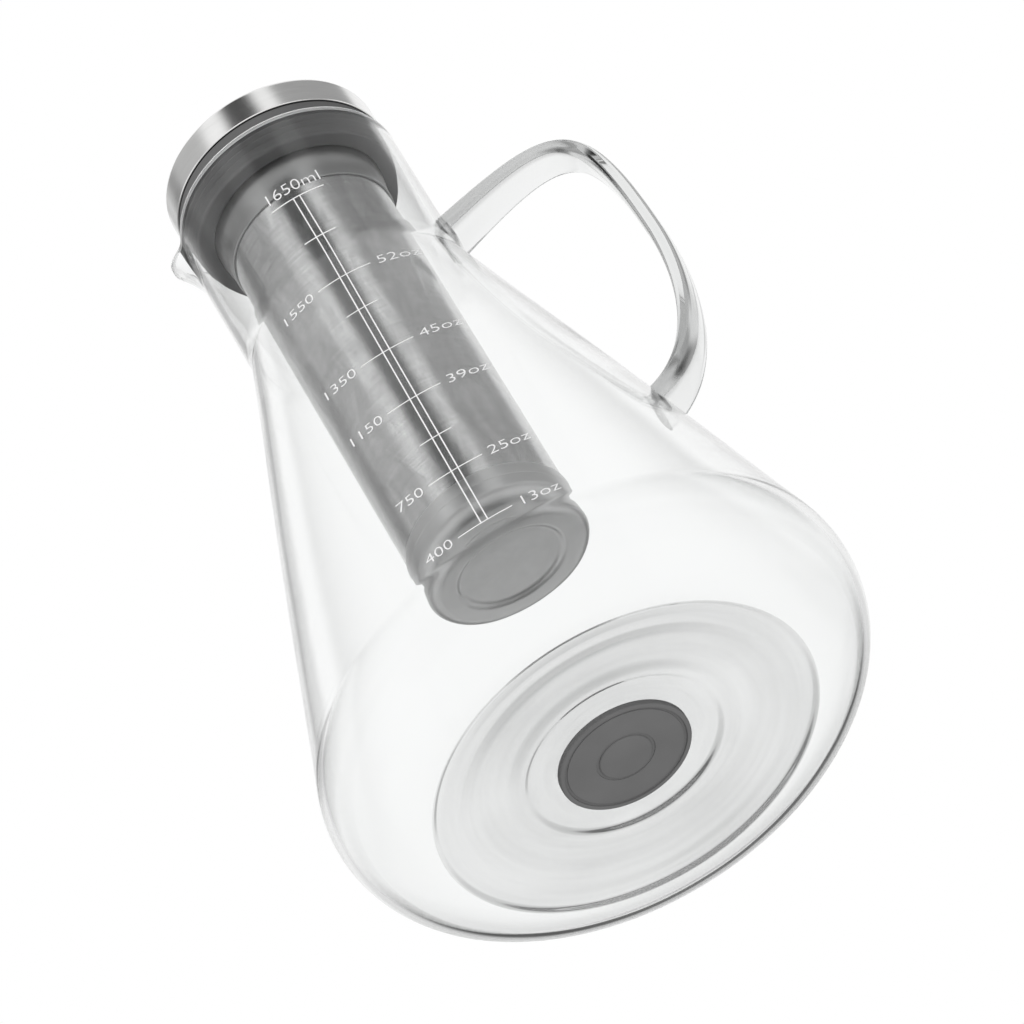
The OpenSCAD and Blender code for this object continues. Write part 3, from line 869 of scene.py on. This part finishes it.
class PITCHER_OT_glass_strap(Operator):
    """Sweep the glass strap handle from its upper weld to its lower weld"""

    bl_idname = "pitcher.glass_strap"
    bl_label = "Glass strap"

    def execute(self, context):
        s = context.scene.pitcher_handle
        shape = GlassShape(context.scene.pitcher_glass)
        tint = context.scene.pitcher_finishes.glass
        glass = clear_glass("drawn_glass", tint, waves=30.0, strength=0.3, murk=14.0)
        mesh = baked("glass_strap", strap_path(s, shape), strap_tree(), {
            "Width": s.width, "Thickness": s.thickness, "Flare": s.flare, "Flare Share": 0.5,
            "Squareness": 0.65, "Steps": 160, "Points": 64, "Material": glass,
        })
        weld_strap(mesh, shape, s.weld_depth)
        new_piece("glass_strap", mesh, glass, "carafe", ["glass_handle"])
        return {"FINISHED"}


class PITCHER_OT_base_pad(Operator):
    """Turn the grooved silicone pad under the base"""

    bl_idname = "pitcher.base_pad"
    bl_label = "Base pad"

    def execute(self, context):
        s = context.scene.pitcher_soft
        low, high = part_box("base_pad")
        outer, inner = high.x - s.pad_edge, high.x - s.pad_edge - s.pad_groove
        deep, face = low.z + s.pad_groove_depth, low.z + s.pad_groove_depth / 2
        boss, ditch = s.pad_boss, s.pad_boss + s.pad_groove
        bond = 0.02 * MM
        top = high.z - bond
        outline = rounded([
            (0.0, top), (high.x, top, 0.1), (high.x, low.z, 0.6), (outer, low.z, 0.2),
            (outer, deep, 0.1), (inner, deep, 0.1), (inner, face, 0.2), (ditch, face, 0.2),
            (ditch, deep, 0.1), (boss, deep, 0.1), (boss, face, 0.1),
            (boss - s.pad_groove_depth / 2, low.z, 0.15), (0.0, low.z),
        ])
        rubber = silicone("pad_silicone", context.scene.pitcher_finishes.pad)
        turned_piece("grip_pad", outline, rubber, "carafe", "base_pad")
        return {"FINISHED"}


class PITCHER_OT_neck_collar(Operator):
    """Turn the lipped silicone collar that hangs the filter in the neck"""

    bl_idname = "pitcher.neck_collar"
    bl_label = "Neck collar"

    def execute(self, context):
        s, f = context.scene.pitcher_soft, context.scene.pitcher_filter
        glass = context.scene.pitcher_glass
        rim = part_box("glass_carafe")[1].z
        low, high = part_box("neck_collar")
        bore, ledge = f.sleeve_radius + s.bond_gap, high.z - f.sheet
        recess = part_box("filter_sleeve")[1].x + s.bond_gap
        lip = glass.neck_radius - glass.wall - s.slide_gap
        plug = lip - s.collar_lip_reach
        flange = high.z - s.collar_flange
        half = s.collar_lip_height / 2
        tip_top, tip_low = 0.6 * half, 0.35 * half
        corners = [
            (recess, high.z, 0.15), (high.x, high.z, 0.5), (high.x, flange, 0.5), (plug, flange, 0.2),
        ]
        for i in range(s.collar_lips):
            middle = rim - (rim - low.z) * (i + 1) / (s.collar_lips + 1)
            corners += [
                (plug, middle + half, 0.15), (lip, middle + tip_top, 0.2),
                (lip, middle + tip_low, 0.2), (plug, middle - half, 0.15),
            ]
        corners += [(plug, low.z, 0.6), (bore, low.z, 0.3), (bore, ledge, 0.1), (recess, ledge, 0.1)]
        rubber = silicone("collar_silicone", context.scene.pitcher_finishes.collar)
        turned_piece("soft_collar", rounded(corners), rubber, "filter", "neck_collar")
        return {"FINISHED"}


def top_sleeve(s, steel, tube):
    """The flanged sleeve, necked in to a crimp round the mesh."""
    low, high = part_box("filter_sleeve")
    radius, bore, crimp = s.sleeve_radius, s.sleeve_radius - s.sheet, tube + s.sheet
    grip, shoulder, flange = low.z + s.crimp, low.z + 2 * s.crimp, high.z - s.sheet
    outline = rounded([
        (bore, high.z, 0.5), (high.x, high.z, 0.2), (high.x, flange, 0.2), (radius, flange, 0.3),
        (radius, shoulder, 2), (crimp, grip, 2), (crimp, low.z, 0.25), (tube, low.z, 0.2),
        (tube, grip, 2), (bore, shoulder, 2),
    ], 6)
    turned_piece("top_sleeve", outline, steel, "filter", "filter_sleeve")


def mesh_hoop(steel, tube):
    """The hoop round the lower end of the mesh."""
    low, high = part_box("filter_hoop")
    edge = 0.25
    outline = rounded([
        (high.x, low.z, edge), (high.x, high.z, edge), (tube, high.z, edge), (tube, low.z, edge),
    ])
    turned_piece("mesh_hoop", outline, steel, "filter", "filter_hoop")


def end_cup(s, steel, upright, step):
    """The drawn cup with its pressed bottom, and the collar that stands up inside the mesh."""
    low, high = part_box("filter_cup")
    outer, inner = high.x, upright - s.sheet
    press = outer - 2 * s.cup_round
    dip = press - s.cup_press
    centre = (outer - s.cup_round, low.z + s.cup_round)
    hollow, floor = low.z + s.cup_press, low.z + s.sheet
    outside = rounded([(0.0, hollow), (dip, hollow, 1), (press, low.z, 1), (centre[0], low.z)], 6)
    inside = rounded([
        (centre[0], floor), (press, floor, 1), (dip, hollow + s.sheet, 1), (0.0, hollow + s.sheet),
    ], 6)
    wall = [
        (outer, step), (upright, step), (upright, high.z), (inner, high.z),
        (inner, step - s.sheet), (outer - s.sheet, step - s.sheet),
    ]
    outline = (
        outside[:-1] + arc(centre, s.cup_round, -90, 0, 12) + wall
        + arc(centre, s.cup_round - s.sheet, 0, -90, 12) + inside[1:]
    )
    turned_piece("end_cup", outline, steel, "filter", "filter_cup")


class PITCHER_OT_steel_filter(Operator):
    """Turn the filter's sleeve, mesh, hoop and cup, and finish its seam"""

    bl_idname = "pitcher.steel_filter"
    bl_label = "Steel filter"

    def execute(self, context):
        s, finishes = context.scene.pitcher_filter, context.scene.pitcher_finishes
        dark_steel = brushed_steel("sleeve_steel", finishes.sleeve, lines=2600.0, roughness=0.36)
        steel = brushed_steel("cup_steel", finishes.cup, lines=2600.0, roughness=0.36)
        low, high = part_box("filter_mesh")
        tube, bore = high.x, high.x - s.mesh
        wire = woven_mesh("woven_wire", finishes.wire, s.wire_pitch, tube)
        top_sleeve(s, dark_steel, tube)
        walls = [(tube, low.z), (tube, high.z), (bore, high.z), (bore, low.z)]
        turned_piece("mesh_tube", walls, wire, "filter", "filter_mesh", segments=192)
        mesh_hoop(steel, tube)
        end_cup(s, steel, bore, low.z)
        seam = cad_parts["filter_seam"]
        seam.data.materials.clear()
        seam.data.materials.append(steel)
        return {"FINISHED"}


def steel_cap(s, steel):
    """The cap with its rounded edge and its hem."""
    low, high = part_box("lid_cap")
    outer, inner, under = high.x, high.x - s.sheet, high.z - s.sheet
    centre = (outer - s.edge_round, high.z - s.edge_round)
    hem = 0.2 * MM
    outline = (
        [(0.0, under), (centre[0] / 2, under)]
        + arc(centre, s.edge_round - s.sheet, 90, 0, 8)
        + [(inner, low.z + hem), (inner + hem, low.z), (outer - hem, low.z), (outer, low.z + hem)]
        + arc(centre, s.edge_round, 0, 90, 12)
        + [(centre[0] / 2, high.z), (0.0, high.z)]
    )
    turned_piece("steel_cap", outline, steel, "lid", "lid_cap", segments=192)


def plug_core(s, plastic):
    """The core under the cap, with its plug and the groove of the seal."""
    low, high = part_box("lid_core")
    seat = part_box("lid_cap")[0].z
    seal_low, seal_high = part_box("lid_seal")
    plug = seal_high.x - s.seal_groove / 2
    groove = plug - s.seal_groove
    hollow = groove - s.plug_wall
    land = min(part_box("neck_collar")[1].x, high.x) - s.skirt
    edge, ceiling = s.edge_round / MM, high.z - s.plug_wall
    outline = rounded([
        (0.0, high.z), (high.x, high.z, edge), (high.x, seat + s.skirt, 0.2), (land, seat + s.skirt, 0.2),
        (land - s.skirt, seat, 0.2), (plug, seat, 0.4), (plug, seal_high.z, 0.2),
        (groove, seal_high.z, 0.2), (groove, seal_low.z, 0.2), (plug, seal_low.z, 0.2),
        (plug, low.z, 0.6), (hollow, low.z, 0.4), (hollow, ceiling, 1), (0.0, ceiling),
    ])
    turned_piece("plug_core", outline, plastic, "lid", "lid_core")


def plug_seal(s, rubber):
    """The soft ring with two lips in that groove."""
    low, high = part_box("lid_seal")
    root = high.x - s.seal_groove / 2
    groove, lip = root - s.seal_groove, (high.z - low.z) / 4
    steps = ((root, 0), (high.x, 0.5), (high.x, 1), (root, 2), (high.x, 3), (high.x, 3.5), (root, 4))
    lips = [(radius, low.z + lip * step, 0.2) for radius, step in steps]
    outline = rounded([(groove, low.z), *lips, (groove, high.z)])
    turned_piece("plug_seal", outline, rubber, "lid", "lid_seal")


class PITCHER_OT_lid(Operator):
    """Turn the brushed cap, the moulded core and the seal of the lid"""

    bl_idname = "pitcher.lid"
    bl_label = "Lid"

    def execute(self, context):
        s, finishes = context.scene.pitcher_lid, context.scene.pitcher_finishes
        steel_cap(s, brushed_steel("brushed_cap", finishes.cap, lines=5200.0, roughness=0.2))
        plug_core(s, silicone("moulded_core", finishes.core, grain=3400.0, roughness=0.42))
        plug_seal(s, silicone("seal_silicone", finishes.seal))
        return {"FINISHED"}


# Measuring marks: height in millimetres, and the numbers left and right of a long mark
LONG_MARKS = (
    (29.9, "400", "13oz"), (55.3, "750", "25oz"), (91.5, "1150", "39oz"),
    (116.0, "1350", "45oz"), (156.6, "1550", "52oz"),
)
SHORT_MARKS = (71.8, 138.9, 177.4)
TOP_MARK, TOP_NUMBER = 193.5, "1650ml"
# Size of the font for digits of height 1
FONT_SIZE = 1.38


def bar_points(name, rows, thickness):
    """A mesh of one point for each bar, with the size of the bar."""
    mesh = bpy.data.meshes.new(name + "_points")
    mesh.from_pydata([(x, 0.0, z) for x, z, _, _ in rows], [], [])
    sizes = mesh.attributes.new("bar_size", "FLOAT_VECTOR", "POINT")
    for item, (_, _, width, height) in zip(sizes.data, rows):
        item.vector = (width, thickness, height)
    return in_scene(name + "_points", mesh)


def flat_numbers(s):
    """All the numbers as one flat mesh, each beside its mark."""
    bm = bmesh.new()
    offset = s.long_mark / 2 + s.digit_gap
    for z, left, right in LONG_MARKS:
        add_number(bm, left, "RIGHT", s.aside - offset, z * MM, s)
        add_number(bm, right, "LEFT", s.aside + offset, z * MM, s)
    add_number(bm, TOP_NUMBER, "CENTER", s.aside, TOP_MARK * MM + s.digit_height, s)
    mesh = bpy.data.meshes.new("numbers_flat")
    bm.to_mesh(mesh)
    bm.free()
    return in_scene("numbers_flat", mesh)


def add_number(bm, text, align, x, z, s):
    """Adds one number, upright in the X and Z plane."""
    font = bpy.data.curves.new("number", "FONT")
    font.body = text
    font.align_x, font.align_y = align, "CENTER"
    font.size = s.digit_height * FONT_SIZE
    font.extrude = s.ink / 2
    font.offset = -s.digit_thinning
    font.resolution_u = 4
    holder = in_scene("number", font)
    flat = bpy.data.meshes.new_from_object(holder.evaluated_get(bpy.context.evaluated_depsgraph_get()))
    flat.transform(Matrix.Translation((x, 0.0, z)) @ Matrix.Rotation(math.pi / 2, 4, "X"))
    bm.from_mesh(flat)
    bpy.data.objects.remove(holder)
    bpy.data.meshes.remove(flat)


class PITCHER_OT_measuring_marks(Operator):
    """Print the measuring marks and their numbers on the front of the glass"""

    bl_idname = "pitcher.measuring_marks"
    bl_label = "Measuring marks"

    def execute(self, context):
        s = context.scene.pitcher_print
        ink = screen_ink("white_ink", context.scene.pitcher_finishes.ink)
        shared = {"Glass": bpy.data.objects["glass_body"], "Ink": s.ink, "Material": ink}
        lengths = [(z, s.long_mark) for z, _, _ in LONG_MARKS] + [(z, s.short_mark) for z in SHORT_MARKS]
        lengths.append((TOP_MARK, s.long_mark))
        marks = [(s.aside, z * MM, width, s.stroke) for z, width in lengths]
        bottom, top = LONG_MARKS[0][0] * MM, TOP_MARK * MM
        middle, rise = (bottom + top) / 2, top - bottom
        spine = [(s.aside + side * s.spine_gap / 2, middle, s.stroke, rise) for side in (-1, 1)]
        bars = print_tree("Printed Bars", True)
        for name, rows, across, up in (("mark_bars", marks, 16, 2), ("mark_spine", spine, 2, 96)):
            inputs = {**shared, "Steps Across": across, "Steps Up": up}
            mesh = baked(name, bar_points(name, rows, s.ink), bars, inputs)
            new_piece(name, mesh, ink, "carafe")
        mesh = baked("mark_numbers", flat_numbers(s), print_tree("Printed Numbers", False), shared)
        new_piece("mark_numbers", mesh, ink, "carafe")
        return {"FINISHED"}


# Grey panels of the room, in degrees: turn from the front towards the handle, half width and soft edge,
# then the same for the climb above the horizon, and how much light the panel takes away
PANEL_SIZES = ("Turn Middle", "Turn Half", "Turn Edge", "Climb Middle", "Climb Half", "Climb Edge", "Depth")
PANELS = (
    (4, 11, 13, 52, 16, 9, 0.95),
    (-80, 31, 14, 40, 16, 14, 0.48),
    (-114, 10, 16, 34, 8, 8, 0.60),
    (-146, 5, 9, 48, 5, 7, 0.40),
    (87, 38, 11, 40, 10, 14, 0.64),
    (180, 180, 1, 3, 20, 12, 0.20),
    (180, 180, 1, 3, 4, 10, 0.50),
    (180, 30, 14, 3, 4, 10, 0.80),
    (168, 14, 14, -26, 6, 8, 0.35),
)

# Low panels that the steel mirrors, and that are not seen straight through the glass
LOW_PANELS = (
    (180, 40, 30, -42, 8, 14, 0.25),
    (-40, 10, 12, -22, 12, 8, 0.85),
    (52, 30, 16, -22, 12, 8, 0.55),
    (140, 8, 12, -22, 12, 8, 0.85),
    (-130, 30, 16, -22, 12, 8, 0.55),
)

WHITE = (1.0, 1.0, 1.0, 1.0)


def pale_floor(base, radius=0.9, segments=64):
    """A pale disc that fades out, seen by the camera and through the glass, and only from above."""
    mesh = bpy.data.meshes.new("floor")
    bm = bmesh.new()
    bmesh.ops.create_circle(bm, cap_ends=True, radius=radius, segments=segments)
    bm.to_mesh(mesh)
    bm.free()
    floor = in_scene("floor", mesh)
    floor.visible_diffuse = floor.visible_glossy = floor.visible_shadow = False
    material, n, shader, output = new_material("pale_floor")
    place = n.place()
    fleck = n.noise(place, scale=160.0, detail=4.0)
    n.join(shader, {
        "Base Color": n.mix(fleck, *shades(base, 0.98, 1.0)), "Roughness": 0.8, "Specular IOR Level": 0.1,
    })
    distance = n.maths("DIVIDE", n.vector_maths("LENGTH", "Value", {0: place}), radius)
    softness = 0.2
    fade = n.maths("SMOOTH_MIN", 1.0, distance, softness)
    under = n.add("ShaderNodeNewGeometry").outputs["Backfacing"]
    n.clear_part(output, shader, n.maths("MAXIMUM", under, n.maths("POWER", fade, 2.0)), WHITE)
    mesh.materials.append(material)


def surroundings(scene):
    """White to the camera. All else sees a white room with the grey panels of a studio in it."""
    world = bpy.data.worlds.new("studio")
    scene.world = world
    world.use_nodes = True
    n = Nodes(world.node_tree)
    n.tree.nodes.clear()
    x, y, z = n.parts(n.add("ShaderNodeTexCoord").outputs["Generated"])
    turn = n.maths("DEGREES", n.maths("ARCTAN2", x, n.times(y, -1.0)))
    climb = n.maths("DEGREES", n.maths("ARCSINE", z))
    rays = n.add("ShaderNodeLightPath").outputs
    unmirrored = n.maths("LESS_THAN", rays["Glossy Depth"], 0.5)
    through = n.times(rays["Is Transmission Ray"], unmirrored)
    low = n.maths("MAXIMUM", panel_light(n, turn, climb, LOW_PANELS), through)
    level = n.times(panel_light(n, turn, climb, PANELS), low)
    strength = n.maths("MAXIMUM", level, rays["Is Camera Ray"])
    light = n.add("ShaderNodeBackground", {"Strength": strength, "Color": WHITE})
    n.add("ShaderNodeOutputWorld", {"Surface": light.outputs[0]})


def panel_light(n, turn, climb, rows):
    """The light that the given panels leave."""
    level = 1.0
    for row in rows:
        sizes = dict(zip(PANEL_SIZES, row))
        level = n.times(level, n.group("Grey Panel", {"Turn": turn, "Climb": climb, **sizes})["Level"])
    return level


def soft_lamp(name, place, size, power):
    """A square soft lamp that faces the middle of the pitcher and shows in no mirror."""
    data = bpy.data.lights.new(name, "AREA")
    data.size = size
    data.energy = power
    lamp = in_scene(name, data)
    middle = (CAD_BOX[0] + CAD_BOX[1]) / 2
    lamp.location = place
    lamp.rotation_euler = (middle - Vector(place)).to_track_quat("-Z", "Y").to_euler()
    lamp.visible_camera = lamp.visible_glossy = lamp.visible_transmission = False


def long_lens(scene):
    """A long lens below and in front of the pitcher, rolled so that the pitcher leans."""
    turn, climb, roll = math.radians(2), math.radians(-40), math.radians(31.25)
    target = Matrix.Translation((0.0, 0.0, 125 * MM))
    shift = Matrix.Translation((20.65 * MM, -19.76 * MM, 2.0))
    look = Matrix.Rotation(turn, 4, "Z") @ Matrix.Rotation(math.pi / 2 - climb, 4, "X")
    data = bpy.data.cameras.new("camera")
    data.sensor_width = 36.0
    data.lens = 268.6
    data.clip_start, data.clip_end = 0.1, 20.0
    camera = in_scene("camera", data)
    camera.matrix_world = target @ look @ Matrix.Rotation(-roll, 4, "Z") @ shift
    scene.camera = camera


class PITCHER_OT_stage(Operator):
    """Set up the pale floor, the studio light and the camera"""

    bl_idname = "pitcher.stage"
    bl_label = "Stage"

    def execute(self, context):
        pale_floor(context.scene.pitcher_finishes.floor)
        surroundings(context.scene)
        soft_lamp("key_lamp", place=(-1.1, -1.3, 1.5), size=1.4, power=22.0)
        soft_lamp("low_lamp", place=(0.7, -1.5, -1.2), size=1.2, power=14.0)
        long_lens(context.scene)
        context.scene.view_settings.view_transform = "Standard"
        return {"FINISHED"}


STEPS = (
    PITCHER_OT_glass_body, PITCHER_OT_glass_strap, PITCHER_OT_base_pad, PITCHER_OT_neck_collar,
    PITCHER_OT_steel_filter, PITCHER_OT_lid, PITCHER_OT_measuring_marks, PITCHER_OT_stage,
)


class PITCHER_PT_build(Panel):
    """Lists the steps that build the pitcher"""

    bl_idname = "PITCHER_PT_build"
    bl_label = "Cold Brew Pitcher"
    bl_space_type = "VIEW_3D"
    bl_region_type = "UI"
    bl_category = "Pitcher"

    def draw(self, context):
        for step in STEPS:
            self.layout.operator(step.bl_idname)


GROUPS = {
    "pitcher_glass": GlassSizes, "pitcher_handle": HandleSizes, "pitcher_soft": SoftSizes,
    "pitcher_filter": FilterSizes, "pitcher_lid": LidSizes, "pitcher_print": PrintSizes,
    "pitcher_finishes": Finishes,
}


def register():
    for kind in (*GROUPS.values(), *STEPS, PITCHER_PT_build):
        bpy.utils.register_class(kind)
    for name, kind in GROUPS.items():
        setattr(Scene, name, PointerProperty(type=kind))


def unregister():
    for name in GROUPS:
        delattr(Scene, name)
    for kind in reversed((*GROUPS.values(), *STEPS, PITCHER_PT_build)):
        bpy.utils.unregister_class(kind)


def main():
    register()
    bpy.ops.pitcher.glass_body()
    bpy.ops.pitcher.glass_strap()
    bpy.ops.pitcher.base_pad()
    bpy.ops.pitcher.neck_collar()
    bpy.ops.pitcher.steel_filter()
    bpy.ops.pitcher.lid()
    bpy.ops.pitcher.measuring_marks()
    bpy.ops.pitcher.stage()


if __name__ == "__main__":
    main()
